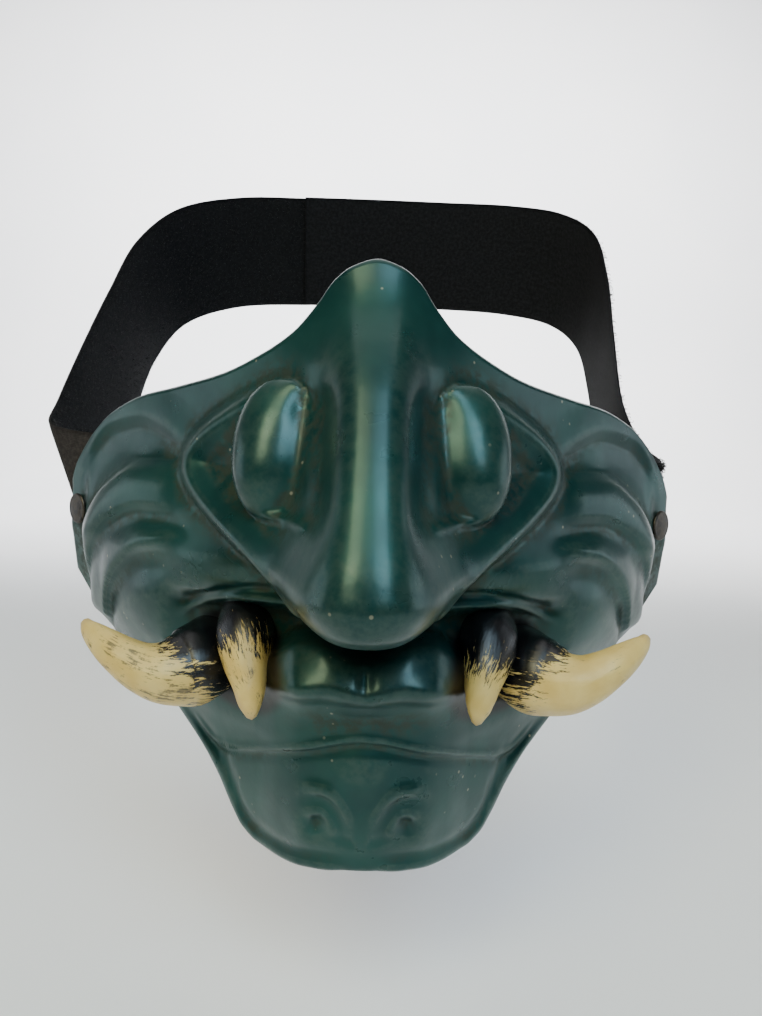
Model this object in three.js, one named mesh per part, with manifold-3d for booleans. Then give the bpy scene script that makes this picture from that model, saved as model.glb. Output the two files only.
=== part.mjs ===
// A half-face guard in the old samurai manner: a thin moulded shell with a heavy nose, rimmed domes,
// stacked cheek folds, a pursed lip, two tusks and two fangs, held on by a hook-and-loop strap that is
// riveted inside each cheek. Millimetres, +Z up, the face looks along -Y, +X is to the viewer's right.
// The origin is where the shell sits on the bridge of the wearer's nose.

import * as THREE from 'three'
import { mergeVertices } from 'three/addons/utils/BufferGeometryUtils.js'
import Module from 'manifold-3d'

const wasm = await Module()
wasm.setup()

// ---- driving dimensions -------------------------------------------------------------------------
const HALF_WIDTH = 91
const SHELL_WALL = 2.6
const COLUMNS = 56
const ROWS = 34
const GAP = 0.3

// The relief is drawn from the bridge's top edge; this brings the place that sits on the nose to the origin.
const SEAT_SHIFT = [0, 5.4, 3]

// Half outline of the shell, [distance from the middle, height]. Each starts with a mirrored point, so
// that the curve crosses the middle level.
const TOP_EDGE = [[-5, 3.4], [0, 4.8], [5, 3.4], [9.5, 0], [13, -5], [18.5, -11], [26, -15.5], [37, -19.8],
  [51, -22.7], [63, -24.8], [74, -29], [83, -36], [88.5, -43], [91, -49]]
const LOW_EDGE = [[-10, -134.8], [0, -134.4], [10, -134.8], [20, -135.6], [26, -135.4], [30.5, -133], [33, -129],
  [37, -121.5], [43.5, -114], [52, -108.3], [66, -99.8], [78, -91], [86, -83.5], [91, -77]]

// The plain wrapped form under the relief: its depth on the middle line, and how fast it turns back.
const MIDDLE_DEPTH = [[5, -3.2], [-5, -3.5], [-20, -4], [-60, -8], [-85, -9], [-101, -6], [-120, -4], [-141, 1]]
const WRAP_DEPTH = [[5, 27], [-60, 27], [-110, 33], [-141, 33]]
const WRAP_WIDTH = 28

// The leaf-shaped wing beside the nose, from the bridge out to its tip and back under the bulb.
const WING_RIM = [[6, -17], [12, -18.5], [20, -20.5], [29.5, -24], [40.6, -30.6], [46.6, -37], [47.4, -42.5],
  [44.6, -47.8], [38, -53.6], [30, -59], [24.2, -62.8], [19, -67], [15, -72]]
const NOSE_GROOVE = [[10.8, -22], [10.4, -27], [10.2, -37], [10.2, -46], [11.4, -51], [14.4, -54.5], [19.5, -56]]

// Four lines across a cheek, from the top crease down, and the relief from each to the next: at 0 to 3
// a line, at -1 the plain surface above them and at 4 the one below.
const CHEEK_LINES = [
  [[46, -38.5], [51, -36], [63, -31.9], [74, -34], [84, -41.9], [91, -50]],
  [[46, -41.5], [51, -41], [63.6, -41.7], [74, -47.5], [81.5, -56.7], [86, -66]],
  [[44, -56], [58.9, -56], [70.9, -60.8], [79.6, -69.9], [84, -80]],
  [[42, -59], [58, -61.7], [66.8, -68.1], [72.6, -76], [76, -86]],
]
const CHEEK_ROLLS = [[-1, 0], [-0.3, 0.7], [0.2, -1.2], [0.5, -1.1], [0.9, -0.5], [1.13, 0.9], [1.4, 1.7],
  [1.7, 0.9], [1.96, -1], [2.12, -0.8], [2.6, 0.9], [2.9, 1.5], [3.04, 1.2], [3.25, -0.8], [3.5, -1.3],
  [3.8, -0.5], [4, 0]]

// A tusk and a fang of the right side: the middle line and the radius at each of its points.
const TUSK_LINE = [[38, 12, -88.5], [41, 4, -89.5], [44.5, 0.5, -89.9], [48, -2, -89.6], [52.2, -3, -88.2],
  [56.8, -3, -85.5], [61.4, -1.5, -82.7], [64.7, 0, -80.5], [66.4, 1, -78.8]]
const TUSK_RADII = [9.6, 9.6, 8.5, 7.2, 5.8, 4.6, 3.5, 2.3, 1.1]
const FANG_LINE = [[29, 8, -77], [28.7, 1, -80.4], [27.3, -5, -85.5], [26.2, -8.5, -89.7], [25.5, -10.5, -93.4],
  [25, -11.5, -96.2]]
const FANG_RADII = [6.6, 6.9, 5.5, 3.9, 2.7, 1.1]

// How far the cheek's relief takes to fade out above the top line and below the bottom one.
const ROLLS_FADE_UP = 12
const ROLLS_FADE_DOWN = 14

// The puffed cheek: how far it stands out, the distance at which it starts to turn back, and the
// length of that turn, which ends at the flange.
const CHEEK_RISE = 6.5
const CHEEK_TURN_X = 64
const CHEEK_TURN = 20.5
const FLANGE_DEPTH = 1.7

// The dome in the wing: its middle, its half width and half height, and how square its outline is.
const DOME_X = 21.2
const DOME_Z = -36.8
const DOME_LEAN = 0.05
const DOME_HALF_WIDTH = 9.8
const DOME_HALF_HEIGHT = 15.4
const DOME_SQUARENESS = 2.15

const RIVET_X = 87.2
const RIVET_Z = -57.5
const RIVET_HEAD_R = 4.5
const RIVET_HEAD_T = 1.3
const RIVET_SHANK_R = 1.9
const RIVET_TAIL_R = 3.6
const RIVET_TAIL_T = 1.0

const LOOP_TAPE_T = 2.0
const HOOK_TAPE_T = 1.8

const paint = { color: 0x1d4a42, roughness: 0.35, metalness: 0.15 }
const enamel = { color: 0xd8bd78, roughness: 0.4, metalness: 0 }
const gunmetal = { color: 0x4a4440, roughness: 0.4, metalness: 0.9 }
const blackTape = { color: 0x14141a, roughness: 0.95, metalness: 0 }

// ---- curves and soft steps ------------------------------------------------------------------------

// A smooth curve through [position, value] points that never overshoots them.
function curve(points, at) {
  const knots = [...points].sort((a, b) => a[0] - b[0])
  const last = knots.length - 1
  const t = Math.min(Math.max(at, knots[0][0]), knots[last][0])
  const slope = (i) => (knots[i + 1][1] - knots[i][1]) / (knots[i + 1][0] - knots[i][0])
  const tangent = (i) => {
    if (i === 0) return slope(0)
    if (i === last) return slope(last - 1)
    const before = slope(i - 1)
    const after = slope(i)
    return before * after <= 0 ? 0 : (2 * before * after) / (before + after)
  }
  let i = 0
  while (i < last - 1 && t > knots[i + 1][0]) i += 1
  const width = knots[i + 1][0] - knots[i][0]
  const s = (t - knots[i][0]) / width
  const start = (1 + 2 * s) * (1 - s) ** 2 * knots[i][1] + s * (1 - s) ** 2 * width * tangent(i)
  const end = s * s * (3 - 2 * s) * knots[i + 1][1] + s * s * (s - 1) * width * tangent(i + 1)
  return start + end
}

function step(from, to, at) {
  const s = Math.min(Math.max((at - from) / (to - from), 0), 1)
  return s * s * (3 - 2 * s)
}

const bump = (distance, width) => Math.exp(-((distance / width) ** 2))

function softMax(a, b, blend) {
  const top = Math.max(a, b)
  return top + blend * Math.log(Math.exp((a - top) / blend) + Math.exp((b - top) / blend))
}

const roundness = (x, z, power) => (Math.abs(x) ** power + Math.abs(z) ** power) ** (1 / power)

// A drawn line on the front of the shell, as short straight stretches.
function drawn(points) {
  const path = new THREE.SplineCurve(points.map(([x, z]) => new THREE.Vector2(x, z)))
  return path.getPoints(points.length * 4).map((p) => [p.x, p.y])
}

// How far a place is from a drawn line, which side it lies on, and how far along the line it is.
function nearest(line, x, z) {
  let best = { distance: Infinity, side: 0, along: 0 }
  for (let i = 0; i < line.length - 1; i += 1) {
    const [ax, az] = line[i]
    const dx = line[i + 1][0] - ax
    const dz = line[i + 1][1] - az
    const s = Math.min(Math.max(((x - ax) * dx + (z - az) * dz) / (dx * dx + dz * dz), 0), 1)
    const ex = x - ax - s * dx
    const ez = z - az - s * dz
    const distance = Math.hypot(ex, ez)
    if (distance < best.distance) {
      best = { distance, side: Math.sign(dx * ez - dz * ex), along: (i + s) / (line.length - 1) }
    }
  }
  return best
}

const wingRim = drawn(WING_RIM)
const noseGroove = drawn(NOSE_GROOVE)

// ---- the face, as heights in front of the wrapped form ---------------------------------------------

function baseDepth(across, z) {
  const turn = Math.sqrt(1 + (across / WRAP_WIDTH) ** 2) - 1
  return curve(MIDDLE_DEPTH, z) + curve(WRAP_DEPTH, z) * turn
}

function noseHeight(across, z, share) {
  const ridge = curve([[6, 0.5], [-4, 3.5], [-15, 9.5], [-25, 15], [-40, 23.5], [-50, 29.5], [-57, 34],
    [-62, 36], [-66, 35], [-69, 31.5], [-71.3, 26], [-73, 18], [-74.3, 7], [-76, 0]], z)
  const flankWidth = curve([[6, 9], [-5, 10], [-20, 10.5], [-30, 10.8], [-40, 11.6], [-48, 12.6], [-55, 15.5],
    [-64, 20]], z)
  const bulbWidth = curve([[-57, 22], [-62, 20], [-66, 17.6], [-69, 15], [-71.3, 12], [-73, 8], [-76, 3]], z)
  const fullness = curve([[-60, 0.9], [-66, 0.58], [-70, 0.5]], z)
  const flank = (1 + (across / flankWidth) ** 4) ** -0.8 * (1 - step(-50, -62, z) * (1 - share))
  const bulb = Math.max(1 - (across / bulbWidth) ** 2.5, 0) ** fullness
  const full = step(-59, -69, z)
  return ridge * (flank * (1 - full) + bulb * full)
}

// How much a place belongs to the wing, 0 outside it and 1 inside.
function wingShare(across, z) {
  const rim = nearest(wingRim, across, z)
  const inward = -rim.distance * rim.side
  return { inward, share: step(-2.6, 3, inward) * step(-75, -68, z) }
}

function wingHeight(wing, z) {
  const rim = curve([[-15, 0.5], [-20, 2], [-25, 4.5], [-32, 7], [-39, 8.5], [-47, 10.5], [-53, 12.5],
    [-60, 16], [-66, 19], [-72, 20]], z)
  const gutter = curve([[0, 0], [2.4, 0.1], [5.5, 1.8], [9.5, 4.4], [14, 5.6], [20, 6]], wing.inward)
  const hollowing = curve([[-18, 0.2], [-24, 0.45], [-30, 0.85], [-36, 1], [-46, 1], [-52, 0.5], [-58, 0],
    [-66, -0.4]], z)
  return wing.share * Math.max(rim - gutter * hollowing, 0)
}

// The dome looks a little toward the nose, so its outer side stands further off the turning wrap.
function domeHeight(across, z) {
  const middle = DOME_X - DOME_LEAN * (z - DOME_Z)
  const r = roundness((across - middle) / DOME_HALF_WIDTH, (z - DOME_Z) / DOME_HALF_HEIGHT, DOME_SQUARENESS)
  if (r >= 1) return 0
  const ahead = baseDepth(across, z) - baseDepth(middle, z)
  const floor = curve([[-20, 3], [-37, 5], [-52, 7.2]], z) + ahead
  const rise = curve([[-20, 4.4], [-30, 7.2], [-42, 8.3], [-52, 7.6]], z) * (1 + 0.03 * (across - middle))
  return floor + Math.sqrt(1 - r * r) * rise
}

function rollPlace(across, z) {
  const lines = CHEEK_LINES.map((line) => curve(line, across))
  const levels = [lines[0] + ROLLS_FADE_UP, ...lines, lines[3] - ROLLS_FADE_DOWN]
  let place = -1
  for (let i = 0; i < levels.length - 1; i += 1) {
    place += Math.min(Math.max((levels[i] - z) / (levels[i] - levels[i + 1]), 0), 1)
  }
  return place
}

// The puffed cheek ends in a steep side, behind which the flange takes the rivet.
function cheekBody(across, z) {
  const beyond = across - CHEEK_TURN_X
  const outward = Math.sqrt(Math.max(1 - (Math.max(beyond, 0) / CHEEK_TURN) ** 3, 0))
  const inward = bump(Math.min(beyond, 0), 24)
  const ledge = 0.25 + 0.6 * step(55, 80, across)
  const share = 1 - ledge + ledge * step(-1, 2.6, curve(CHEEK_LINES[1], across) - z)
  return CHEEK_RISE * outward * inward * share * bump(z + 64, 30)
}

function cheekHeight(across, z) {
  const rolls = curve(CHEEK_ROLLS, rollPlace(across, z)) * step(43, 55, across) * step(88, 80, across)
  const ball = 4 * bump(roundness((across - 60) / 15, (z + 80) / 14, 2), 1)
  const muzzle = 4.5 * bump(roundness((across - 36) / 16, (z + 67) / 8, 2), 1)
  return (rolls + cheekBody(across, z) + ball + muzzle) * step(12, 30, across)
}

function mouthHeight(across, z) {
  const hollow = -4 * step(-71, -76, z) * step(-104, -90, z) * step(54, 42, across)
  const lipTop = curve([[-3, -83.2], [0, -83.6], [3, -83.2], [10, -80.6], [15, -81], [20, -84], [26, -90]], across)
  const lipLine = curve([[-14.8, -103.6], [0, -99.8], [14.8, -103.6], [27.6, -109.5], [36.6, -112.6],
    [45, -108]], across)
  const down = (z - lipTop) / (lipLine - lipTop)
  const lip = curve([[-0.14, 0], [-0.02, 8], [0.06, 12.4], [0.25, 15], [0.5, 12.5], [0.8, 8.6], [1, 7.4],
    [1.1, 7], [1.5, 7.6], [2, 6.5], [3, 5]], down)
  const reach = curve([[0, 1], [14, 1], [20, 0.82], [26, 0.55], [34, 0.4], [44, 0.3], [54, 0]], across)
  return hollow + lip * reach * step(-0.14, 0, down)
}

function borderHeight(across, z) {
  const edge = curve(LOW_EDGE, across)
  const slope = curve(LOW_EDGE, across + 0.5) - curve(LOW_EDGE, across - 0.5)
  const inward = (z - edge) / Math.hypot(1, slope)
  const present = step(-104, -112, z) * (0.25 + 0.75 * step(3, 9, across))
  return present * (0.8 * bump(inward - 0.9, 1.8) - 0.6 * bump(inward - 4.2, 2))
}

function faceHeight(x, z) {
  const across = Math.abs(x)
  const wing = wingShare(across, z)
  const saddle = curve([[6, 1], [-10, 4.5], [-25, 7], [-50, 6], [-68, 2], [-78, 0]], z) * bump(across, 30)
  const groove = nearest(noseGroove, across, z)
  const grooveDepth = curve([[0, 1], [0.2, 3.2], [0.5, 4], [0.7, 2.2], [0.85, 0.8], [1, 0]], groove.along)
  const noseBlend = curve([[-40, 1], [-50, 2.4], [-62, 3.2], [-67, 1.6], [-72, 1]], z)
  const domeBlend = curve([[-20, 3], [-28, 2], [-36, 1], [-52, 0.8]], z)
  let height = softMax(noseHeight(across, z, wing.share), wingHeight(wing, z), noseBlend)
  const dome = domeHeight(across, z)
  if (dome > 0) height = softMax(height, dome, domeBlend)
  height += saddle - grooveDepth * bump(groove.distance, 2.9)
  height -= 1.8 * bump(roundness((across - 14.2) / 3.2, (z + 26.5) / 5, 2), 1)
  height += (1 - wing.share) * cheekHeight(across, z)
  height -= FLANGE_DEPTH * step(83, 86, across) * step(-94, -84, z) * step(-44, -54, z)
  return height + mouthHeight(across, z) + borderHeight(across, z)
}

// The lowest relief close to a place, so that the inside stays clear of every groove.
function innerHeight(x, z) {
  const reach = 3.2
  let lowest = faceHeight(x, z)
  for (let turn = 0; turn < 8; turn += 1) {
    const angle = (turn * Math.PI) / 4
    lowest = Math.min(lowest, faceHeight(x + reach * Math.cos(angle), z + reach * Math.sin(angle)))
  }
  return lowest
}

// A point of the shell at a height, with the heavy nose hanging a little as it comes forward.
function place(x, z, height, behind) {
  const across = Math.abs(x)
  const hang = 0.1 * Math.max(height - 8, 0) * step(-38, -62, z) * step(30, 12, across)
  return new THREE.Vector3(x, baseDepth(across, z) - height + behind, z - hang)
}

const outerPoint = (x, z, behind = 0) => place(x, z, faceHeight(x, z), behind)

function innerPoint(x, z, behind = 0) {
  const across = Math.abs(x)
  const slope = baseDepth(across + 0.5, z) - baseDepth(across - 0.5, z)
  return place(x, z, innerHeight(x, z), SHELL_WALL * Math.hypot(1, slope) + behind)
}

// ---- solids ---------------------------------------------------------------------------------------

// Closes two matching grids of points, front and back, into one solid.
function wall(front, back) {
  const columns = front.length
  const rows = front[0].length
  const positions = [...front.flat(), ...back.flat()].flatMap((p) => [p.x, p.y, p.z])
  const index = []
  const at = (side, i, j) => (side * columns + i) * rows + j
  const quad = (a, b, c, d) => index.push(a, b, c, a, c, d)
  for (let i = 0; i < columns - 1; i += 1) {
    for (let j = 0; j < rows - 1; j += 1) {
      quad(at(0, i, j), at(0, i, j + 1), at(0, i + 1, j + 1), at(0, i + 1, j))
      quad(at(1, i, j), at(1, i + 1, j), at(1, i + 1, j + 1), at(1, i, j + 1))
    }
  }
  for (let i = 0; i < columns - 1; i += 1) {
    quad(at(0, i, 0), at(0, i + 1, 0), at(1, i + 1, 0), at(1, i, 0))
    quad(at(0, i + 1, rows - 1), at(0, i, rows - 1), at(1, i, rows - 1), at(1, i + 1, rows - 1))
  }
  for (let j = 0; j < rows - 1; j += 1) {
    quad(at(0, 0, j + 1), at(0, 0, j), at(1, 0, j), at(1, 0, j + 1))
    quad(at(0, columns - 1, j), at(0, columns - 1, j + 1), at(1, columns - 1, j + 1), at(1, columns - 1, j))
  }
  const geometry = new THREE.BufferGeometry()
  geometry.setAttribute('position', new THREE.Float32BufferAttribute(positions, 3))
  geometry.setIndex(index)
  return geometry
}

function toSolid(geometry) {
  geometry.deleteAttribute('normal')
  geometry.deleteAttribute('uv')
  const merged = mergeVertices(geometry, 1e-4)
  const mesh = new wasm.Mesh({
    numProp: 3,
    vertProperties: new Float32Array(merged.attributes.position.array),
    triVerts: new Uint32Array(merged.index.array),
  })
  return new wasm.Manifold(mesh)
}

function toGeometry(solid) {
  const mesh = solid.getMesh()
  const geometry = new THREE.BufferGeometry()
  geometry.setAttribute('position', new THREE.BufferAttribute(mesh.vertProperties, 3))
  geometry.setIndex(new THREE.BufferAttribute(mesh.triVerts, 1))
  return geometry
}

// Heights of a column's rows, evenly spaced along the surface from its top edge to its low edge.
function rowHeights(x) {
  const top = curve(TOP_EDGE, Math.abs(x))
  const low = curve(LOW_EDGE, Math.abs(x))
  const samples = 120
  const heights = Array.from({ length: samples + 1 }, (_, i) => top + ((low - top) * i) / samples)
  const travelled = [0]
  for (let i = 1; i <= samples; i += 1) {
    const stretch = outerPoint(x, heights[i]).distanceTo(outerPoint(x, heights[i - 1]))
    travelled.push(travelled[i - 1] + Math.min(stretch, 4))
  }
  const rows = []
  for (let j = 0; j <= ROWS; j += 1) {
    const wanted = (travelled[samples] * j) / ROWS
    const i = Math.max(travelled.findIndex((d) => d >= wanted - 1e-9), 1)
    const share = (wanted - travelled[i - 1]) / (travelled[i] - travelled[i - 1])
    rows.push(heights[i - 1] + (heights[i] - heights[i - 1]) * share)
  }
  return rows
}

// The shell's columns stand closer together at the nose than at the cheeks.
function columnPlaces() {
  return Array.from({ length: COLUMNS + 1 }, (_, i) => {
    const u = (2 * i) / COLUMNS - 1
    return HALF_WIDTH * u * (0.75 + 0.25 * u * u)
  })
}

function shellGrid(point) {
  return columnPlaces().map((x) => rowHeights(x).map((z) => point(x, z)))
}

// Where a rivet stands: its seat on the cheek's rear flange and the way its head faces.
function rivetSeat(side) {
  const x = side * RIVET_X
  const seat = outerPoint(x, RIVET_Z)
  const slope = baseDepth(RIVET_X + 1, RIVET_Z) - baseDepth(RIVET_X - 1, RIVET_Z)
  const facing = new THREE.Vector3((side * slope) / 2, -1, 0).normalize()
  return { seat: seat.addScaledVector(facing, 0.4), facing }
}

function turned(profile, seat, facing, sides = 28) {
  const geometry = new THREE.LatheGeometry(profile.map(([r, h]) => new THREE.Vector2(r, h)), sides)
  const turn = new THREE.Quaternion().setFromUnitVectors(new THREE.Vector3(0, 1, 0), facing)
  geometry.applyQuaternion(turn)
  geometry.translate(seat.x, seat.y, seat.z)
  return geometry
}

// Depth from the seat to the far side of the tape: shell wall, tape and the gaps between.
const GRIP = 10.7

function rivetGeometry(side) {
  const { seat, facing } = rivetSeat(side)
  const profile = [
    [0, -GRIP - RIVET_TAIL_T], [RIVET_TAIL_R, -GRIP - RIVET_TAIL_T], [RIVET_TAIL_R, -GRIP],
    [RIVET_SHANK_R, -GRIP], [RIVET_SHANK_R, 0], [RIVET_HEAD_R, 0], [RIVET_HEAD_R, RIVET_HEAD_T * 0.6],
    [RIVET_HEAD_R - 0.5, RIVET_HEAD_T], [0, RIVET_HEAD_T],
  ]
  return turned(profile, seat, facing)
}

// The room a rivet needs in its neighbours: a bore round the shank and a flat spot under the head.
function rivetRoom(side) {
  const { seat, facing } = rivetSeat(side)
  const bore = RIVET_SHANK_R + GAP
  const spot = RIVET_HEAD_R + GAP
  const profile = [[0, -20], [bore, -20], [bore, -GAP], [spot, -GAP], [spot, 12], [0, 12]]
  return toSolid(turned(profile, seat, facing, 20))
}

function shellGeometry() {
  let shell = toSolid(wall(shellGrid(outerPoint), shellGrid(innerPoint)))
  for (const side of [-1, 1]) shell = shell.subtract(rivetRoom(side))
  return toGeometry(shell)
}

// A tapered tooth swept along a bent line; radii are given at the same places as the points.
function toothGeometry(points, radii, sides, rings) {
  const path = new THREE.CatmullRomCurve3(points.map((p) => new THREE.Vector3(...p)))
  const frames = path.computeFrenetFrames(rings, false)
  const knots = radii.map((r, i) => [i / (radii.length - 1), r])
  const positions = []
  for (let j = 0; j <= rings; j += 1) {
    const centre = path.getPoint(j / rings)
    const radius = curve(knots, j / rings)
    for (let k = 0; k < sides; k += 1) {
      const angle = (2 * Math.PI * k) / sides
      const rim = centre.clone()
        .addScaledVector(frames.normals[j], radius * Math.cos(angle))
        .addScaledVector(frames.binormals[j], radius * Math.sin(angle))
      positions.push(rim.x, rim.y, rim.z)
    }
  }
  const start = path.getPoint(0)
  const tip = path.getPoint(1)
  positions.push(start.x, start.y, start.z, tip.x, tip.y, tip.z)
  const index = []
  const startAt = (rings + 1) * sides
  for (let k = 0; k < sides; k += 1) {
    const next = (k + 1) % sides
    for (let j = 0; j < rings; j += 1) {
      const a = j * sides
      index.push(a + k, a + next, a + sides + next, a + k, a + sides + next, a + sides + k)
    }
    index.push(startAt, next, k)
    index.push(startAt + 1, rings * sides + k, rings * sides + next)
  }
  const geometry = new THREE.BufferGeometry()
  geometry.setAttribute('position', new THREE.Float32BufferAttribute(positions, 3))
  geometry.setIndex(index)
  return geometry
}

// Everything from just in front of the shell's face to well behind it, to trim the teeth's roots.
function behindFace() {
  const front = shellGrid((x, z) => outerPoint(x, z, -GAP))
  const back = shellGrid((x, z) => new THREE.Vector3(x, 120, z))
  return toSolid(wall(front, back))
}

const mirrored = (points, side) => points.map(([x, y, z]) => [side * x, y, z])

function toothSolid(line, radii, side, sides, rings, extra = 0) {
  return toSolid(toothGeometry(mirrored(line, side), radii.map((r) => r + extra), sides, rings))
}

// A tusk starts behind the fang, so the fang's room is taken out of its root.
function tuskSolid(side, trim) {
  const fangRoom = toothSolid(FANG_LINE, FANG_RADII, side, 18, 14, GAP)
  return toothSolid(TUSK_LINE, TUSK_RADII, side, 20, 22).subtract(trim).subtract(fangRoom)
}

const fangSolid = (side, trim) => toothSolid(FANG_LINE, FANG_RADII, side, 18, 14).subtract(trim)

// A tape as a ruled band between its two long edges.
function tapeGeometry(upper, lower, thickness, lengthSteps) {
  const corners = (points) => points.map((p) => new THREE.Vector3(...p))
  const edge = (points) => new THREE.CatmullRomCurve3(corners(points), false, 'centripetal')
  const upperEdge = edge(upper)
  const lowerEdge = edge(lower)
  const spread = 3 // quads across the tape
  const middle = []
  for (let i = 0; i <= lengthSteps; i += 1) {
    const a = upperEdge.getPoint(i / lengthSteps)
    const b = lowerEdge.getPoint(i / lengthSteps)
    middle.push(Array.from({ length: spread + 1 }, (_, j) => a.clone().lerp(b, j / spread)))
  }
  const shifted = (amount) => middle.map((row, i) => row.map((p, j) => {
    const ahead = middle[Math.min(i + 1, lengthSteps)][j]
    const behind = middle[Math.max(i - 1, 0)][j]
    const along = ahead.clone().sub(behind)
    const across = row[spread].clone().sub(row[0])
    return p.clone().addScaledVector(along.cross(across).normalize(), amount)
  }))
  return { front: shifted(thickness / 2), back: shifted(-thickness / 2) }
}

// The tapes are given by their upper and lower edges, from the end behind the cheek, up round the
// crown, to the end that overlaps the other tape behind the head.
const LOOP_TAPE_UPPER = [[-80, 58, -35], [-88, 67, -35], [-98, 71.5, -34], [-106, 77, -32], [-108.5, 90, -24],
  [-108, 110, -4], [-105.5, 133, 21], [-101, 155, 46], [-89, 178, 66], [-66, 197, 77], [-34, 208, 81],
  [0, 211.5, 82], [34, 208, 81]]
const LOOP_TAPE_LOWER = [[-67, 45.5, -79], [-78, 56, -80], [-87, 67, -79], [-91, 76, -75], [-94, 90, -68],
  [-97, 112, -51], [-98, 140, -27], [-97, 167, -2], [-89, 190, 17], [-68, 208, 28], [-35, 219, 32],
  [0, 223, 33], [35, 219, 32]]
const HOOK_TAPE_UPPER = [[80, 58, -37], [86.5, 65.5, -38], [93, 71, -39], [96, 79, -38], [95.5, 95, -33],
  [94, 114, -18], [94.5, 131, 8], [95, 147, 36], [92.5, 162, 57], [82, 180, 70], [62, 195, 77],
  [32, 205.4, 80.5], [0, 208.6, 81.7], [-36, 204.9, 80.6]]
const HOOK_TAPE_LOWER = [[67, 45.5, -79], [78, 56, -80], [87, 67, -79], [90, 76, -78], [90, 92, -76],
  [90, 114, -66], [92, 138, -40], [93, 158, -11], [91, 175, 10], [82, 192, 22], [62, 206.5, 28.5],
  [32, 216.4, 31.5], [0, 220, 32.7], [-36, 216, 31.6]]
const TAPE_STEPS = 48

function tapeSolid(upper, lower, thickness, side) {
  const { front, back } = tapeGeometry(upper, lower, thickness, TAPE_STEPS)
  const band = wall(back, front)
  return toSolid(band).subtract(rivetRoom(side))
}

// ---- the guard --------------------------------------------------------------------------------------

const guard = new THREE.Group()
guard.position.set(...SEAT_SHIFT)

function add(name, geometry, finish) {
  const mesh = new THREE.Mesh(geometry, new THREE.MeshStandardMaterial(finish))
  mesh.name = name
  guard.add(mesh)
}

const trim = behindFace()
add('mask_shell', shellGeometry(), paint)
for (const [name, side] of [['left', -1], ['right', 1]]) {
  add(`tusk_${name}`, toGeometry(tuskSolid(side, trim)), enamel)
  add(`fang_${name}`, toGeometry(fangSolid(side, trim)), enamel)
  add(`rivet_${name}`, rivetGeometry(side), gunmetal)
}
add('strap_left', toGeometry(tapeSolid(LOOP_TAPE_UPPER, LOOP_TAPE_LOWER, LOOP_TAPE_T, -1)), blackTape)
add('strap_right', toGeometry(tapeSolid(HOOK_TAPE_UPPER, HOOK_TAPE_LOWER, HOOK_TAPE_T, 1)), blackTape)

export default guard
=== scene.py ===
# %% [markdown]
# # A samurai face guard
# This lesson models a half-face demon guard: a thin moulded shell, tusks and fangs, two rivets and a
# head strap of hook-and-loop tape. The frame gives every piece its real place and size, so nothing is
# fitted by eye. Relief is drawn here in millimetres, because that is how a sculptor measures it, and
# turned into metres when a mesh is made.

# %% Load the frame
import math

import bpy
import numpy as np
from mathutils import Matrix, Vector


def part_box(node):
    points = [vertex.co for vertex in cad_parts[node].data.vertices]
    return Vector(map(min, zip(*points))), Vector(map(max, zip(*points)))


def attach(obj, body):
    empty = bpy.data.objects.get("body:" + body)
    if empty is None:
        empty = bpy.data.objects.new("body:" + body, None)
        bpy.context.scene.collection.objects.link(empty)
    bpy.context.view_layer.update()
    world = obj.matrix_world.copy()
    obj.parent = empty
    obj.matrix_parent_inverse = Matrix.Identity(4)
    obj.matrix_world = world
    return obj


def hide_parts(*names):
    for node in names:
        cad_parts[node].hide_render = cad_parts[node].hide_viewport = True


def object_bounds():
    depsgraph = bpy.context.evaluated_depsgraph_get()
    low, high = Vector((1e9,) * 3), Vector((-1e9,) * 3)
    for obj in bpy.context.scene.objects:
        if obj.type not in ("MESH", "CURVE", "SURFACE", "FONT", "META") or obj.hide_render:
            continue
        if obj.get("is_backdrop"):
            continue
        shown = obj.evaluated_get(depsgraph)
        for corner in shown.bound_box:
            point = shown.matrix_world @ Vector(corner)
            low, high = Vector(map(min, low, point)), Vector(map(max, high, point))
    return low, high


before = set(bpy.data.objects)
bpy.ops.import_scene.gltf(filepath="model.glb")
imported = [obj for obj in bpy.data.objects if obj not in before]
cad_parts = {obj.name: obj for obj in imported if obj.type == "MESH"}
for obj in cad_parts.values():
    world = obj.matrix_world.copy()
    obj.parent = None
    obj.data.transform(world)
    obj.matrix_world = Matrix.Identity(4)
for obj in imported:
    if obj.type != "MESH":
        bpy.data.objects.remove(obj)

CAD_LOW, CAD_HIGH = (list(corner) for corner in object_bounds())
SHELL_LOW, SHELL_HIGH = (np.array(corner) * 1000 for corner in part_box("mask_shell"))
print("frame box in mm", np.round(np.array(CAD_LOW) * 1000, 1), np.round(np.array(CAD_HIGH) * 1000, 1))

# %% [markdown]
# ## The camera
# The guard is looked at from straight in front and very near, a little above the chin, and the camera
# dips and leans by a few degrees. A near camera matters here: it makes the nose loom and the cheeks
# fall away. Another way is to aim the camera at an empty with a constraint, but a matrix built from
# three named angles is shorter and says exactly what it does.

# %% Place the camera
CAMERA_FROM_SEAT = Vector((0.0, -0.1706, -0.0305))
CAMERA_DIP = math.radians(5.3)
CAMERA_TURN = math.radians(0.77)
CAMERA_LEAN = math.radians(1.8)

camera_data = bpy.data.cameras.new("camera")
camera_data.sensor_fit = "VERTICAL"
camera_data.sensor_height = 36.0
camera_data.lens = 27.04
camera_data.clip_start = 0.01
camera = bpy.data.objects.new("camera", camera_data)
bpy.context.collection.objects.link(camera)
facing = (
    Matrix.Rotation(-CAMERA_TURN, 4, "Z")
    @ Matrix.Rotation(math.radians(90) - CAMERA_DIP, 4, "X")
    @ Matrix.Rotation(CAMERA_LEAN, 4, "Z")
)
camera.matrix_world = Matrix.Translation(CAMERA_FROM_SEAT) @ facing
bpy.context.scene.camera = camera
print("camera looks along", np.round(facing.to_3x3() @ Vector((0, 0, -1)), 3))

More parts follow.
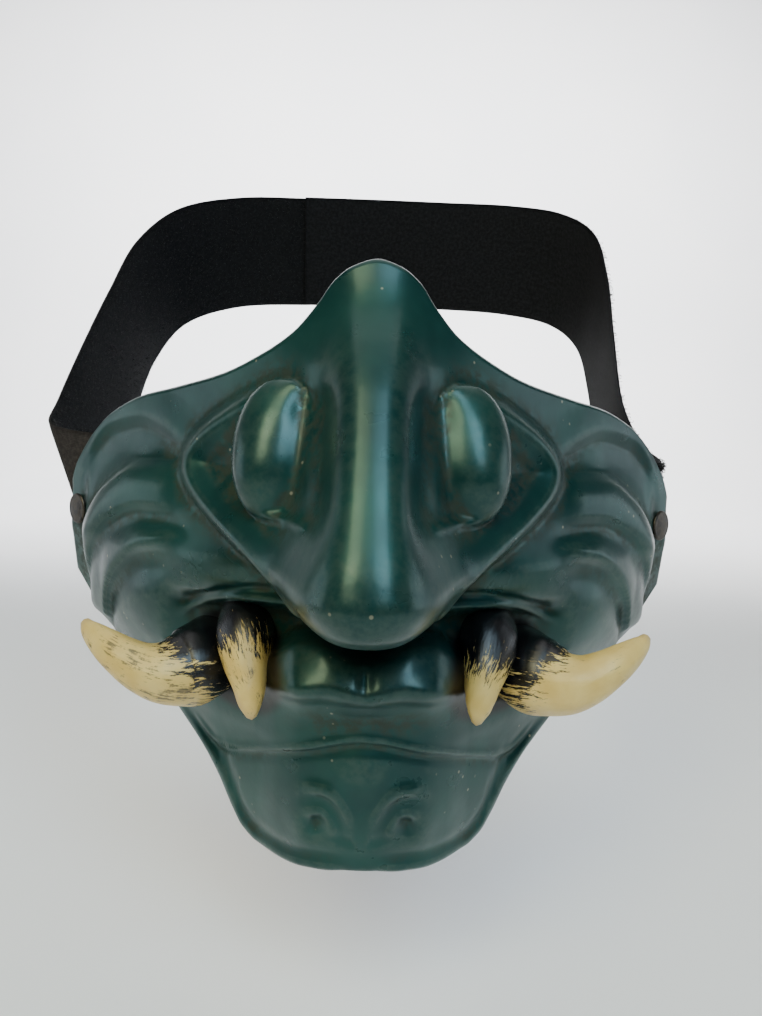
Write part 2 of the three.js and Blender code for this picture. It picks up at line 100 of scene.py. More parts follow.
# %% [markdown]
# ## Tools of the sculptor
# The real shell was modelled by hand in clay, then moulded. Blender's sculpt brushes could do that
# too, but a brush stroke can't be repeated by a script. So the clay is a height above a plain wrapped
# form, and each lump, crease and fold is a small function added to that height. These helpers are the
# brushes: a smooth curve through a few points, a soft step, a round bump, and the distance to a line.

# %% Brushes
def curve(points, at):
    """A smooth curve through (position, value) points that never overshoots them."""
    knots = np.array(sorted(points), float)
    x, y = knots[:, 0], knots[:, 1]
    width = np.diff(x)
    slope = np.diff(y) / width
    tangent = np.empty_like(y)
    tangent[0], tangent[-1] = slope[0], slope[-1]
    before, after = slope[:-1], slope[1:]
    safe = np.where(before * after > 0, before + after, 1)
    tangent[1:-1] = np.where(before * after > 0, 2 * before * after / safe, 0)
    t = np.clip(at, x[0], x[-1])
    i = np.clip(np.searchsorted(x, t, side="right") - 1, 0, len(x) - 2)
    s = (t - x[i]) / width[i]
    start = (1 + 2 * s) * (1 - s) ** 2 * y[i] + s * (1 - s) ** 2 * width[i] * tangent[i]
    end = s * s * (3 - 2 * s) * y[i + 1] + s * s * (s - 1) * width[i] * tangent[i + 1]
    return start + end


def step(start, end, at):
    s = np.clip((at - start) / (end - start), 0, 1)
    return s * s * (3 - 2 * s)


def bump(distance, width):
    return np.exp(-((distance / width) ** 2))


def soft_max(a, b, blend):
    top = np.maximum(a, b)
    return top + blend * np.log(np.exp((a - top) / blend) + np.exp((b - top) / blend))


def roundness(x, z, power):
    return (np.abs(x) ** power + np.abs(z) ** power) ** (1 / power)


def mound(across, z, middle, reach):
    """A soft oval swelling, 1 at its middle and fading beyond its reach."""
    return bump(roundness((across - middle[0]) / reach[0], (z - middle[1]) / reach[1], 2), 1)


def drawn(points, pieces=6):
    """A line drawn on the front of the shell, smoothed into short straight stretches."""
    p = np.array(points, float)
    p = np.vstack([2 * p[0] - p[1], p, 2 * p[-1] - p[-2]])
    line = []
    for a, b, c, d in zip(p[:-3], p[1:-2], p[2:-1], p[3:]):
        for s in np.arange(pieces) / pieces:
            bend = (2 * a - 5 * b + 4 * c - d) * s * s + (3 * b - a - 3 * c + d) * s**3
            line.append(0.5 * (2 * b + (c - a) * s + bend))
    return np.array(line + [p[-2]])


def nearest(line, x, z):
    """Distance to a drawn line, the side a place lies on, and how far along the line it is."""
    distance = np.full(x.shape, 1e9)
    side = np.zeros(x.shape)
    along = np.zeros(x.shape)
    for i, ((ax, az), (bx, bz)) in enumerate(zip(line[:-1], line[1:])):
        dx, dz = bx - ax, bz - az
        s = np.clip(((x - ax) * dx + (z - az) * dz) / (dx * dx + dz * dz), 0, 1)
        ex, ez = x - ax - s * dx, z - az - s * dz
        here = np.hypot(ex, ez)
        closer = here < distance
        distance = np.where(closer, here, distance)
        side = np.where(closer, np.sign(dx * ez - dz * ex), side)
        along = np.where(closer, (i + s) / (len(line) - 1), along)
    return distance, side, along


# %% [markdown]
# ## The outline and the plain form
# Cut out of card, the guard would be this outline. Bent round a face, it would be the wrapped form:
# nearly flat across the mouth and turning back at the cheeks. Both are the same curves that the CAD
# shell was built on, so the fine sculpture stays on the CAD shell's surface.

# %% Outline and wrap
HALF_WIDTH = SHELL_HIGH[0]
TOP_EDGE = [(-5, 3.4), (0, 4.8), (5, 3.4), (9.5, 0), (13, -5), (18.5, -11), (26, -15.5), (37, -19.8),
            (51, -22.7), (63, -24.8), (74, -29), (83, -36), (88.5, -43), (91, -49)]
LOW_EDGE = [(-10, -134.8), (0, -134.4), (10, -134.8), (20, -135.6), (26, -135.4), (30.5, -133), (33, -129),
            (37, -121.5), (43.5, -114), (52, -108.3), (66, -99.8), (78, -91), (86, -83.5), (91, -77)]
MIDDLE_DEPTH = [(5, -3.2), (-5, -3.5), (-20, -4), (-60, -8), (-85, -9), (-101, -6), (-120, -4), (-141, 1)]
WRAP_DEPTH = [(5, 27), (-60, 27), (-110, 33), (-141, 33)]
WRAP_WIDTH = 28
SHELL_WALL = 2.6


def base_depth(across, z):
    turn = np.sqrt(1 + (across / WRAP_WIDTH) ** 2) - 1
    return curve(MIDDLE_DEPTH, z) + curve(WRAP_DEPTH, z) * turn


# %% [markdown]
# ## The nose
# A long wedge runs down from the bridge and swells into a heavy hanging bulb. One ridge curve gives
# its height, one gives the width of its flanks, and one the width of the bulb; the two cross-sections
# are mixed on the way down, so there is no seam where the bulb begins.

# %% Nose height
RIDGE = [(6, 0.5), (-4, 3.5), (-15, 9.5), (-25, 15), (-40, 23.5), (-50, 29.5), (-57, 34), (-62, 36),
         (-66, 35), (-69, 31.5), (-71.3, 26), (-73, 18), (-74.3, 7), (-76, 0)]
FLANK_WIDTH = [(6, 9), (-5, 10), (-20, 10.5), (-30, 10.8), (-40, 11.6), (-48, 12.6), (-55, 15.5), (-64, 20)]
BULB_WIDTH = [(-57, 22), (-62, 20), (-66, 17.6), (-69, 15), (-71.3, 12), (-73, 8), (-76, 3)]
BULB_FULLNESS = [(-60, 0.9), (-66, 0.58), (-70, 0.5)]


def nose_height(across, z, share):
    flank = (1 + (across / curve(FLANK_WIDTH, z)) ** 4) ** -0.8
    flank = flank * (1 - step(-50, -62, z) * (1 - share))
    inside = np.clip(1 - (across / curve(BULB_WIDTH, z)) ** 2.5, 0, 1)
    full = step(-59, -69, z)
    return curve(RIDGE, z) * (flank * (1 - full) + inside ** curve(BULB_FULLNESS, z) * full)


# %% [markdown]
# ## The wings and the domes
# Beside the nose lies a leaf-shaped wing with a raised rim. Inside the rim is a gutter, and out of
# the gutter rises a long eye-like dome with a small ledge at its foot. The wing is found from the
# distance to its rim line, which is positive inside, so the rim stays crisp wherever it bends.

# %% Wing and dome heights
WING_RIM = [(6, -17), (12, -18.5), (20, -20.5), (29.5, -24), (40.6, -30.6), (46.6, -37), (47.4, -42.5),
            (44.6, -47.8), (38, -53.6), (30, -59), (24.2, -62.8), (19, -67), (15, -72)]
NOSE_GROOVE = [(10.8, -22), (10.4, -27), (10.2, -37), (10.2, -46), (11.4, -51), (14.4, -54.5), (19.5, -56)]
RIM_HEIGHT = [(-15, 0.5), (-20, 2), (-25, 4.5), (-32, 7), (-39, 8.5), (-47, 10.5), (-53, 12.5),
              (-60, 16), (-66, 19), (-72, 20)]
GUTTER = [(0, 0), (2.4, 0.1), (5.5, 1.8), (9.5, 4.4), (14, 5.6), (20, 6)]
HOLLOWING = [(-18, 0.2), (-24, 0.45), (-30, 0.85), (-36, 1), (-46, 1), (-52, 0.5), (-58, 0), (-66, -0.4)]
DOME_X, DOME_Z, DOME_LEAN = 21.19, -36.8, 0.05
DOME_HALF_WIDTH, DOME_HALF_HEIGHT, DOME_SQUARENESS = 9.8, 15.4, 2.15
DOME_FLOOR = [(-20, 3), (-37, 5), (-52, 7.2)]
DOME_RISE = [(-20, 4.4), (-30, 7.2), (-42, 8.3), (-52, 7.6)]
DOME_BLEND = [(-20, 3), (-28, 2.2), (-36, 1.6), (-52, 1.2)]
WELL_BELOW = -20
LEDGE_RISE, LEDGE_Z = 1.5, -50.8
NOSE_BLEND = [(-40, 1), (-50, 2.4), (-62, 3.2), (-67, 1.6), (-72, 1)]
wing_rim = drawn(WING_RIM)
nose_groove = drawn(NOSE_GROOVE)


def wing_share(across, z):
    distance, side, _ = nearest(wing_rim, across, z)
    inward = -distance * side
    return inward, step(-2.4, 2.4, inward) * step(-75, -68, z)


def wing_height(inward, share, z):
    return share * np.maximum(curve(RIM_HEIGHT, z) - curve(GUTTER, inward) * curve(HOLLOWING, z), 0)


def dome_height(across, z):
    """The dome looks a little toward the nose, so its outer side stands further off the wrap."""
    middle = DOME_X - DOME_LEAN * (z - DOME_Z)
    r = roundness((across - middle) / DOME_HALF_WIDTH, (z - DOME_Z) / DOME_HALF_HEIGHT, DOME_SQUARENESS)
    floor = curve(DOME_FLOOR, z) + base_depth(across, z) - base_depth(middle, z)
    rise = curve(DOME_RISE, z) * (1 + 0.03 * (across - middle))
    return np.where(r < 1, floor + rise * np.sqrt(np.clip(1 - r * r, 0, 1)), WELL_BELOW)


def ledge_height(across, z):
    return LEDGE_RISE * bump(z - LEDGE_Z, 0.9) * step(11.5, 14.5, across) * step(24.5, 21.5, across)


# %% [markdown]
# ## The cheeks
# The cheeks are puffed out, and stacked crescents of flesh lie on them like roof tiles: each has a
# crest, and under the crest the surface steps back into shade. Every crescent is one curve across the
# cheek, and one profile says how high it stands from line to line. Behind them a flat flange takes the
# rivet.

# %% Cheek heights
CREASE = [(46, -38.5), (51, -36), (63, -31.9), (74, -34), (84, -41.9), (91, -50)]
FOLD = [(46, -41.5), (51, -41), (63.6, -41.7), (74, -47.5), (81.5, -56.7), (86, -66)]
BAND = [(44, -56), (58.9, -56), (70.9, -60.8), (79.6, -69.9), (84, -80)]
UNDER = [(42, -59), (58, -61.7), (66.8, -68.1), (72.6, -76), (76, -86)]
ROLL_DEPTH = 1.3
ROLLS = [(-1, 0), (-0.3, 0.7), (0.2, -1.2), (0.5, -1.1), (0.9, -0.5), (1.13, 0.9), (1.4, 1.7), (1.7, 0.9),
         (1.96, -1), (2.12, -0.8), (2.6, 0.9), (2.9, 1.5), (3.04, 1.2), (3.25, -0.8), (3.5, -1.3),
         (3.8, -0.5), (4, 0)]
FADE_UP, FADE_DOWN = 12, 14
CHEEK_RISE, CHEEK_TURN_X, CHEEK_TURN = 6.5, 64, 20.5


def roll_place(across, z):
    """0 at the top crease, 1, 2 and 3 at the lines further down the cheek, and 4 below them all."""
    lines = [curve(line, across) for line in (CREASE, FOLD, BAND, UNDER)]
    lines = [lines[0] + FADE_UP, *lines, lines[-1] - FADE_DOWN]
    place = -1
    for above, below in zip(lines[:-1], lines[1:]):
        place = place + np.clip((above - z) / (above - below), 0, 1)
    return place


def cheek_body(across, z):
    """Full where it faces forward; further out it rolls back steeply and ends at the flange."""
    beyond = across - CHEEK_TURN_X
    outward = np.sqrt(np.clip(1 - (np.clip(beyond, 0, None) / CHEEK_TURN) ** 3, 0, 1))
    inward = bump(np.minimum(beyond, 0), 24)
    ledge = 0.25 + 0.6 * step(55, 80, across)
    share = 1 - ledge + ledge * step(-1, 2.6, curve(FOLD, across) - z)
    return CHEEK_RISE * outward * inward * share * bump(z + 64, 30)


def cheek_height(across, z):
    rolls = ROLL_DEPTH * curve(ROLLS, roll_place(across, z)) * step(43, 55, across) * step(88, 80, across)
    ball = 4 * mound(across, z, (60, -80), (15, 14))
    muzzle = 4.5 * mound(across, z, (36, -67), (16, 8))
    return (rolls + cheek_body(across, z) + ball + muzzle) * step(12, 30, across)


# %% [markdown]
# ## Mouth, lip and chin
# The mouth is a shaded hollow under the nose. A heavy lower lip with two small lobes pushes out of it,
# and runs down to a fine drawn line where the chin begins. On the chin two curled marks face each
# other like commas, and a rolled border runs round the jaw.

# %% Mouth and chin heights
LIP_TOP = [(-3, -83.2), (0, -83.6), (3, -83.2), (10, -80.6), (15, -81), (20, -84), (26, -90)]
LIP_LINE = [(-14.8, -103.6), (0, -99.8), (14.8, -103.6), (27.6, -109.5), (36.6, -112.6), (45, -108)]
LIP_PROFILE = [(-0.2, 0), (-0.1, 10.5), (-0.03, 12.6), (0.12, 14.2), (0.25, 15), (0.5, 12.5), (0.8, 8.6),
               (1, 7.4), (1.1, 7), (1.5, 7.6), (2, 6.5), (3, 5)]
LIP_REACH = [(0, 1), (14, 1), (20, 0.82), (26, 0.55), (34, 0.4), (44, 0.3), (54, 0)]
UPPER_LIP = [(0, -78), (17, -71.5), (26, -71.6), (39, -74.8), (50, -80)]
CURL_OUTER = drawn([(16, -116.5), (12.5, -113), (8.3, -112.6), (5.4, -114.6), (3.4, -118.3), (2.4, -123)])
CURL_INNER = drawn([(13.6, -121), (11.8, -119.2), (9, -118.8), (7.2, -120.4), (6.2, -123), (6, -125.5)])


def mouth_height(across, z):
    hollow = -4 * step(-71, -76, z) * step(-104, -90, z) * step(54, 42, across)
    lip_top, lip_line = curve(LIP_TOP, across), curve(LIP_LINE, across)
    down = (z - lip_top) / (lip_line - lip_top)
    lip = curve(LIP_PROFILE, down) * curve(LIP_REACH, across) * step(-0.2, -0.08, down)
    notch = -1.2 * bump(across, 1.8) * bump(down - 0.05, 0.22)
    lobe = 2.4 * mound(across, z, (15.5, -87), (7, 4.6))
    line = (0.7 * bump(z - lip_line, 1) - 0.6 * bump(z - lip_line + 2.2, 1.3)) * step(47, 40, across)
    upper = z - curve(UPPER_LIP, across)
    roll = 1.5 * bump(upper, 1.2) - 1.2 * bump(upper - 2.6, 1.2)
    roll = roll * step(50, 40, across) * step(12, 17, across)
    return hollow + lip + notch + lobe + line + roll


def chin_height(across, z):
    outer, side, along = nearest(CURL_OUTER, across, z)
    height = 0.9 * bump(outer, 1.6) * step(0, 0.3, along) * step(1.05, 0.75, along)
    height -= 0.5 * bump(outer - 2.8, 1.6) * (side > 0) * step(0, 0.3, along)
    inner, side, along = nearest(CURL_INNER, across, z)
    height += 0.8 * bump(inner, 1.5) * step(0, 0.3, along) * step(1.05, 0.75, along)
    height -= 1.7 * mound(across + 0.25 * (z + 121.8), z, (10.3, -122), (1.8, 2.8))
    return height + 0.6 * mound(across, z, (14, -124.5), (3, 4.5))


def border_height(across, z):
    edge = curve(LOW_EDGE, across)
    slope = curve(LOW_EDGE, across + 0.5) - curve(LOW_EDGE, across - 0.5)
    inward = (z - edge) / np.hypot(1, slope)
    present = step(-104, -112, z) * (0.25 + 0.75 * step(3, 9, across))
    return present * (0.8 * bump(inward - 0.9, 1.5) - 0.6 * bump(inward - 4.2, 1.8))


# %% [markdown]
# ## The whole face
# The heights are joined with a soft maximum where one form grows out of another, and simply added
# where one lies on top. The nose also hangs: what stands further forward is moved down a little,
# which gives the bulb a true overhang that a plain height could not have.

# %% Face height and placing
SADDLE = [(6, 1), (-10, 4.5), (-25, 7), (-50, 6), (-68, 2), (-78, 0)]
GROOVE_DEPTH = [(0, 1), (0.2, 3.2), (0.5, 4), (0.7, 2.2), (0.85, 0.8), (1, 0)]
GROOVE_WIDTH = 2.7
FLANGE_DEPTH = 1.7
HANG = 0.1


def face_height(x, z):
    across = np.abs(x)
    inward, share = wing_share(across, z)
    height = soft_max(nose_height(across, z, share), wing_height(inward, share, z), curve(NOSE_BLEND, z))
    height = soft_max(height, dome_height(across, z), curve(DOME_BLEND, z))
    height += curve(SADDLE, z) * bump(across, 30) + ledge_height(across, z)
    height -= 1.8 * mound(across, z, (14.2, -26.5), (3.2, 5))
    groove, _, along = nearest(nose_groove, across, z)
    height -= curve(GROOVE_DEPTH, along) * bump(groove, GROOVE_WIDTH)
    height += (1 - share) * cheek_height(across, z)
    height -= FLANGE_DEPTH * step(83, 86, across) * step(-94, -84, z) * step(-44, -54, z)
    return height + mouth_height(across, z) + chin_height(across, z) + border_height(across, z)


def placed(x, z, height, behind=0.0):
    across = np.abs(x)
    hang = HANG * np.maximum(height - 8, 0) * step(-38, -62, z) * step(30, 12, across)
    return np.stack([x, base_depth(across, z) - height + behind, z - hang], -1)


def outer_surface(x, z):
    return placed(x, z, face_height(x, z))


def inner_surface(x, z, reach=3.2):
    """Behind the lowest relief close by, so that the inside never breaks through a groove."""
    lowest = face_height(x, z)
    for turn in np.arange(8) * math.pi / 4:
        lowest = np.minimum(lowest, face_height(x + reach * math.cos(turn), z + reach * math.sin(turn)))
    across = np.abs(x)
    slope = base_depth(across + 0.5, z) - base_depth(across - 0.5, z)
    return placed(x, z, lowest, SHELL_WALL * np.hypot(1, slope))


# %% [markdown]
# ## From heights to a mesh
# The face is sampled on a net of columns and rows. Columns stand closer at the nose, and each column's
# rows are spread evenly along its real length, so the steep underside of the nose gets as many faces
# as the flat chin. The inside needs less, so its net is half as fine, and a rounded rim of a few rings
# joins the two along the edge.

# %% The shell's net
COLUMNS = 312
ROWS = 208


def blurred(values, sigma, axis):
    reach = int(3 * sigma)
    weights = np.exp(-0.5 * (np.arange(-reach, reach + 1) / sigma) ** 2)
    pad = [(0, 0)] * values.ndim
    pad[axis] = (reach, reach)
    padded = np.pad(values, pad, mode="edge")
    parts = [w * np.take(padded, range(i, i + values.shape[axis]), axis) for i, w in enumerate(weights)]
    return sum(parts) / weights.sum()


def shell_net():
    u = np.linspace(-1, 1, COLUMNS + 1)
    x = HALF_WIDTH * u * (0.75 + 0.25 * u * u)
    top, low = curve(TOP_EDGE, np.abs(x)), curve(LOW_EDGE, np.abs(x))
    samples = np.linspace(0, 1, 400)
    z = top[:, None] + (low - top)[:, None] * samples
    points = outer_surface(np.repeat(x[:, None], len(samples), 1), z)
    stretch = np.linalg.norm(np.diff(points, axis=1), axis=-1)
    stretch = np.minimum(stretch, 3.5 * np.median(stretch, axis=1, keepdims=True))
    travelled = np.concatenate([np.zeros((len(x), 1)), np.cumsum(stretch, axis=1)], axis=1)
    travelled /= travelled[:, -1:]
    shares = np.linspace(0, 1, ROWS + 1)
    places = np.array([np.interp(shares, line, samples) for line in travelled])
    places = blurred(places, 3.0, 0)
    return np.repeat(x[:, None], ROWS + 1, 1), top[:, None] + (low - top)[:, None] * places


net_x, net_z = shell_net()
outer_net = outer_surface(net_x, net_z)
inner_net = inner_surface(net_x[::2, ::2], net_z[::2, ::2])
SEAT_SHIFT = np.array([0, SHELL_LOW[1] - outer_net[..., 1].min(), SHELL_HIGH[2] - outer_net[..., 2].max()])
print("the relief is moved by", np.round(SEAT_SHIFT, 2), "mm to meet the frame")

# %% [markdown]
# ## From points to a piece
# Every piece below is a list of points and a list of faces. These helpers turn millimetres of relief
# into metres in the frame, join neighbours in a net, and store a number on each point for a material.

# %% Mesh helpers
def mesh_piece(name, points_mm, faces, smooth=True):
    """A new object from points in millimetres of the relief and a list of faces."""
    mesh = bpy.data.meshes.new(name)
    mesh.from_pydata(((np.asarray(points_mm) + SEAT_SHIFT) / 1000).tolist(), [], faces)
    mesh.validate()
    mesh.update()
    if smooth:
        mesh.shade_smooth()
    piece = bpy.data.objects.new(name, mesh)
    bpy.context.collection.objects.link(piece)
    print(name, len(mesh.vertices), "points", len(mesh.polygons), "faces")
    return piece


def net_faces(columns, rows, first=0, flip=False):
    at = first + np.arange(columns * rows).reshape(columns, rows)
    a, b, c, d = at[:-1, :-1], at[:-1, 1:], at[1:, 1:], at[1:, :-1]
    order = (a, d, c, b) if flip else (a, b, c, d)
    return np.stack([corner.ravel() for corner in order], 1).tolist()


def net_border(columns, rows, first=0):
    """The numbers of a net's border points, once round."""
    at = first + np.arange(columns * rows).reshape(columns, rows)
    return np.concatenate([at[:-1, 0], at[-1, :-1], at[:0:-1, -1], at[0, :0:-1]])


def keep_number(piece, name, values):
    """Stores one number a point, for the material to read."""
    attribute = piece.data.attributes.new(name, "FLOAT", "POINT")
    attribute.data.foreach_set("value", np.asarray(values, np.float32))


# %% [markdown]
# ## The shell itself
# Outer net, inner net and a rounded rim make one closed body. Three rings stand between the nets and
# swell outward, because a cast edge is never knife sharp. Each outer ring point between two inner ones
# gets a triangle, which is how a fine net meets one half as fine.

# %% Build the shell
RIM_SWELL = 0.8


def build_shell():
    columns, rows = outer_net.shape[:2]
    half_columns, half_rows = inner_net.shape[:2]
    outer_ring = net_border(columns, rows)
    outer_points = outer_net.reshape(-1, 3)
    inner_first = len(outer_points)
    inner_ring = net_border(half_columns, half_rows, inner_first)
    inner_points = inner_net.reshape(-1, 3)
    points = [outer_points, inner_points]
    faces = net_faces(columns, rows) + net_faces(half_columns, half_rows, inner_first, flip=True)
    # the rim's rings, as fine as the outer net
    one_in = np.clip(np.stack(np.unravel_index(outer_ring, (columns, rows))), 1, [[columns - 2], [rows - 2]])
    outward = outer_points[outer_ring] - outer_net[one_in[0], one_in[1]]
    outward /= np.linalg.norm(outward, axis=1, keepdims=True)
    inner_edge = inner_points[inner_ring - inner_first]
    behind = np.empty_like(outward)
    behind[::2] = inner_edge
    behind[1::2] = (inner_edge + np.roll(inner_edge, -1, 0)) / 2
    previous = outer_ring
    first = inner_first + len(inner_points)
    for share in (0.22, 0.5, 0.78):
        ring = outer_points[outer_ring] * (1 - share) + behind * share
        ring = ring + outward * RIM_SWELL * math.sin(math.pi * share)
        points.append(ring)
        current = np.arange(first, first + len(ring))
        first += len(ring)
        faces += np.stack([previous, np.roll(previous, -1), np.roll(current, -1), current], 1).tolist()
        previous = current
    count = len(inner_ring)
    for i in range(count):
        a, b, c = previous[2 * i], previous[2 * i + 1], previous[(2 * i + 2) % (2 * count)]
        here, ahead = inner_ring[i], inner_ring[(i + 1) % count]
        faces += [[int(a), int(b), int(here)], [int(b), int(ahead), int(here)], [int(b), int(c), int(ahead)]]
    return mesh_piece("painted_shell", np.concatenate(points), faces)


shell = build_shell()


def crevice_depth():
    """How far the surface close by stands in front of each outer point, in millimetres."""
    across = np.gradient(outer_net, axis=0)
    down = np.gradient(outer_net, axis=1)
    normal = np.cross(across, down)
    normal /= np.linalg.norm(normal, axis=-1, keepdims=True)
    normal *= np.where(normal[..., 1:2] > 0, -1, 1)
    depths = []
    for sigma in (2.5, 7.0):
        around = blurred(blurred(outer_net, sigma, 0), sigma, 1)
        depths.append(((around - outer_net) * normal).sum(-1))
    return depths


fine_crevice, broad_crevice = crevice_depth()
shell_points = len(shell.data.vertices)
for name, depth in (("fine_crevice", fine_crevice), ("broad_crevice", broad_crevice)):
    whole = np.zeros(shell_points)
    whole[: depth.size] = depth.ravel()
    keep_number(shell, name, whole)
print("deepest crevice", round(float(broad_crevice.max()), 2), "mm")

# Where the shell is painted black round the tooth roots; below and between the teeth this black also stands
# in for painted shade.
GUM_AND_SHADE_MIDDLE = (31.5, -88)
GUM_AND_SHADE_REACH = (13.5, 12)
gum_and_shade = roundness((np.abs(net_x) - GUM_AND_SHADE_MIDDLE[0]) / GUM_AND_SHADE_REACH[0], (net_z - GUM_AND_SHADE_MIDDLE[1]) / GUM_AND_SHADE_REACH[1], 2.6)
whole = np.full(shell_points, 9.0)
whole[: gum_and_shade.size] = gum_and_shade.ravel()
keep_number(shell, "gum_and_shade", whole)

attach(shell, "root")
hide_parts("mask_shell")

# %% [markdown]
# ## Small helpers for materials
# A Blender material is a net of nodes. These helpers add a node with its values set and join two
# nodes in one line each, so that each finish below reads like a recipe.

# %% Material helpers
def new_material(name):
    material = bpy.data.materials.new(name)
    material.use_nodes = True
    nodes = material.node_tree.nodes
    return material, material.node_tree, nodes["Principled BSDF"]


def add(tree, kind, values=None, **settings):
    node = tree.nodes.new(kind)
    for name, value in settings.items():
        setattr(node, name, value)
    for name, value in (values or {}).items():
        node.inputs[name].default_value = value
    return node


def set_inputs(node, values):
    for name, value in values.items():
        node.inputs[name].default_value = value


def join(tree, source, target):
    tree.links.new(source.outputs[0] if hasattr(source, "outputs") else source, target)


def noise(tree, where, scale, detail=3.0, roughness=0.5):
    values = {"Scale": scale, "Detail": detail, "Roughness": roughness}
    node = add(tree, "ShaderNodeTexNoise", values)
    join(tree, where, node.inputs["Vector"])
    return node.outputs["Fac"]


def remap(tree, value, low, high, to_low=0.0, to_high=1.0):
    node = add(tree, "ShaderNodeMapRange", interpolation_type="SMOOTHSTEP")
    join(tree, value, node.inputs["Value"])
    for name, number in (("From Min", low), ("From Max", high), ("To Min", to_low), ("To Max", to_high)):
        node.inputs[name].default_value = number
    return node.outputs["Result"]


def arithmetic(tree, operation, first, second):
    node = add(tree, "ShaderNodeMath", operation=operation)
    for socket, value in zip(node.inputs, (first, second)):
        if isinstance(value, (int, float)):
            socket.default_value = value
        else:
            join(tree, value, socket)
    return node.outputs[0]


def times(tree, first, second):
    return arithmetic(tree, "MULTIPLY", first, second)


def plus(tree, first, second):
    return arithmetic(tree, "ADD", first, second)


def blend(tree, share, first, second):
    """A colour between two others, each a socket or plain numbers."""
    node = add(tree, "ShaderNodeMix", data_type="RGBA")
    join(tree, share, node.inputs[0])
    for socket, value in ((node.inputs[6], first), (node.inputs[7], second)):
        if isinstance(value, tuple):
            socket.default_value = (*value, 1)
        else:
            join(tree, value, socket)
    return node.outputs[2]


def stored(tree, name):
    return add(tree, "ShaderNodeAttribute", attribute_name=name).outputs["Fac"]


def roughen(tree, shader, height, strength, distance):
    node = add(tree, "ShaderNodeBump", {"Strength": strength, "Distance": distance})
    join(tree, height, node.inputs["Height"])
    join(tree, node, shader.inputs["Normal"])


# %% [markdown]
# ## Pearly paint with dust in its folds
# The shell is painted a deep teal with a little pearl in it, so its highlights are soft and coloured.
# Brown-gold dust has settled in the folds, edges are rubbed paler, and a few white specks lie about.
# The numbers stored on the mesh say where the folds and edges are, so the dust follows the sculpture.
# Round the tooth roots the paint is black, and below and between the teeth that black is also painted shade.

# %% Shell paint
def shell_paint():
    material, tree, shader = new_material("teal_paint")
    where = add(tree, "ShaderNodeTexCoord").outputs["Object"]
    fine, broad = stored(tree, "fine_crevice"), stored(tree, "broad_crevice")
    cloud = noise(tree, where, 34, 4, 0.55)
    grain = noise(tree, where, 420, 5, 0.65)
    colour = blend(tree, remap(tree, cloud, 0.36, 0.66), (0.0032, 0.034, 0.032), (0.0075, 0.053, 0.045))
    rubbed = times(tree, remap(tree, fine, -0.03, -0.16), remap(tree, grain, 0.3, 0.65))
    colour = blend(tree, times(tree, rubbed, 0.5), colour, (0.040, 0.075, 0.062))
    dusty = times(tree, remap(tree, broad, 0.1, 1.1), remap(tree, grain, 0.36, 0.6))
    colour = blend(tree, times(tree, dusty, 0.5), colour, (0.042, 0.032, 0.014))
    specks = add(tree, "ShaderNodeTexVoronoi", {"Scale": 260.0}, feature="F1")
    join(tree, where, specks.inputs["Vector"])
    rare = times(tree, remap(tree, specks.outputs["Distance"], 0.13, 0.06),
                 remap(tree, noise(tree, where, 90, 2), 0.56, 0.62))
    colour = blend(tree, times(tree, rare, 0.45), colour, (0.40, 0.36, 0.25))
    # Black paint round the tooth roots, which below and between the teeth is also painted shade.
    edge = plus(tree, stored(tree, "gum_and_shade"), times(tree, cloud, 0.25))
    colour = blend(tree, remap(tree, edge, 1.22, 0.98), colour, (0.003, 0.003, 0.004))
    join(tree, colour, shader.inputs["Base Color"])
    gloss = remap(tree, noise(tree, where, 75, 4, 0.6), 0.3, 0.7, 0.26, 0.38)
    gloss = plus(tree, gloss, times(tree, dusty, 0.3))
    join(tree, gloss, shader.inputs["Roughness"])
    set_inputs(shader, {"Metallic": 0.4, "Specular IOR Level": 0.35})
    set_inputs(shader, {"Coat Weight": 0.12, "Coat Roughness": 0.15})
    height = plus(tree, noise(tree, where, 160, 3), times(tree, grain, 0.35))
    roughen(tree, shader, height, 0.10, 0.0006)
    return material


shell.data.materials.append(shell_paint())

# %% [markdown]
# ## Tusks and fangs
# Each tooth is a round bar that bends and thins to a blunt point. A curve with a bevel would do, but
# its taper is awkward to steer, so rings are laid along a smooth line and joined. Each ring also keeps
# how far along and around it lies, for the brushed paint. The root ends flat within the shell's wall,
# so that nothing shows inside.

# %% Build the teeth
TUSK_LINE = [(38, 12, -88.5), (41, 4, -89.5), (44.5, 0.5, -89.9), (48, -2, -89.6), (52.2, -3, -88.2),
             (56.8, -3, -85.5), (61.4, -1.5, -82.7), (64.7, 0, -80.5), (66.4, 1, -78.8)]
TUSK_RADII = [9.6, 9.6, 8.5, 7.2, 5.8, 4.6, 3.5, 2.3, 1.1]
FANG_LINE = [(29, 8, -77), (28.7, 1, -80.4), (27.3, -5, -85.5), (26.2, -8.5, -89.7), (25.5, -10.5, -93.4),
             (25, -11.5, -96.2)]
FANG_RADII = [6.6, 6.9, 5.5, 3.9, 2.7, 1.1]
ROOT_IN_WALL = 1.2


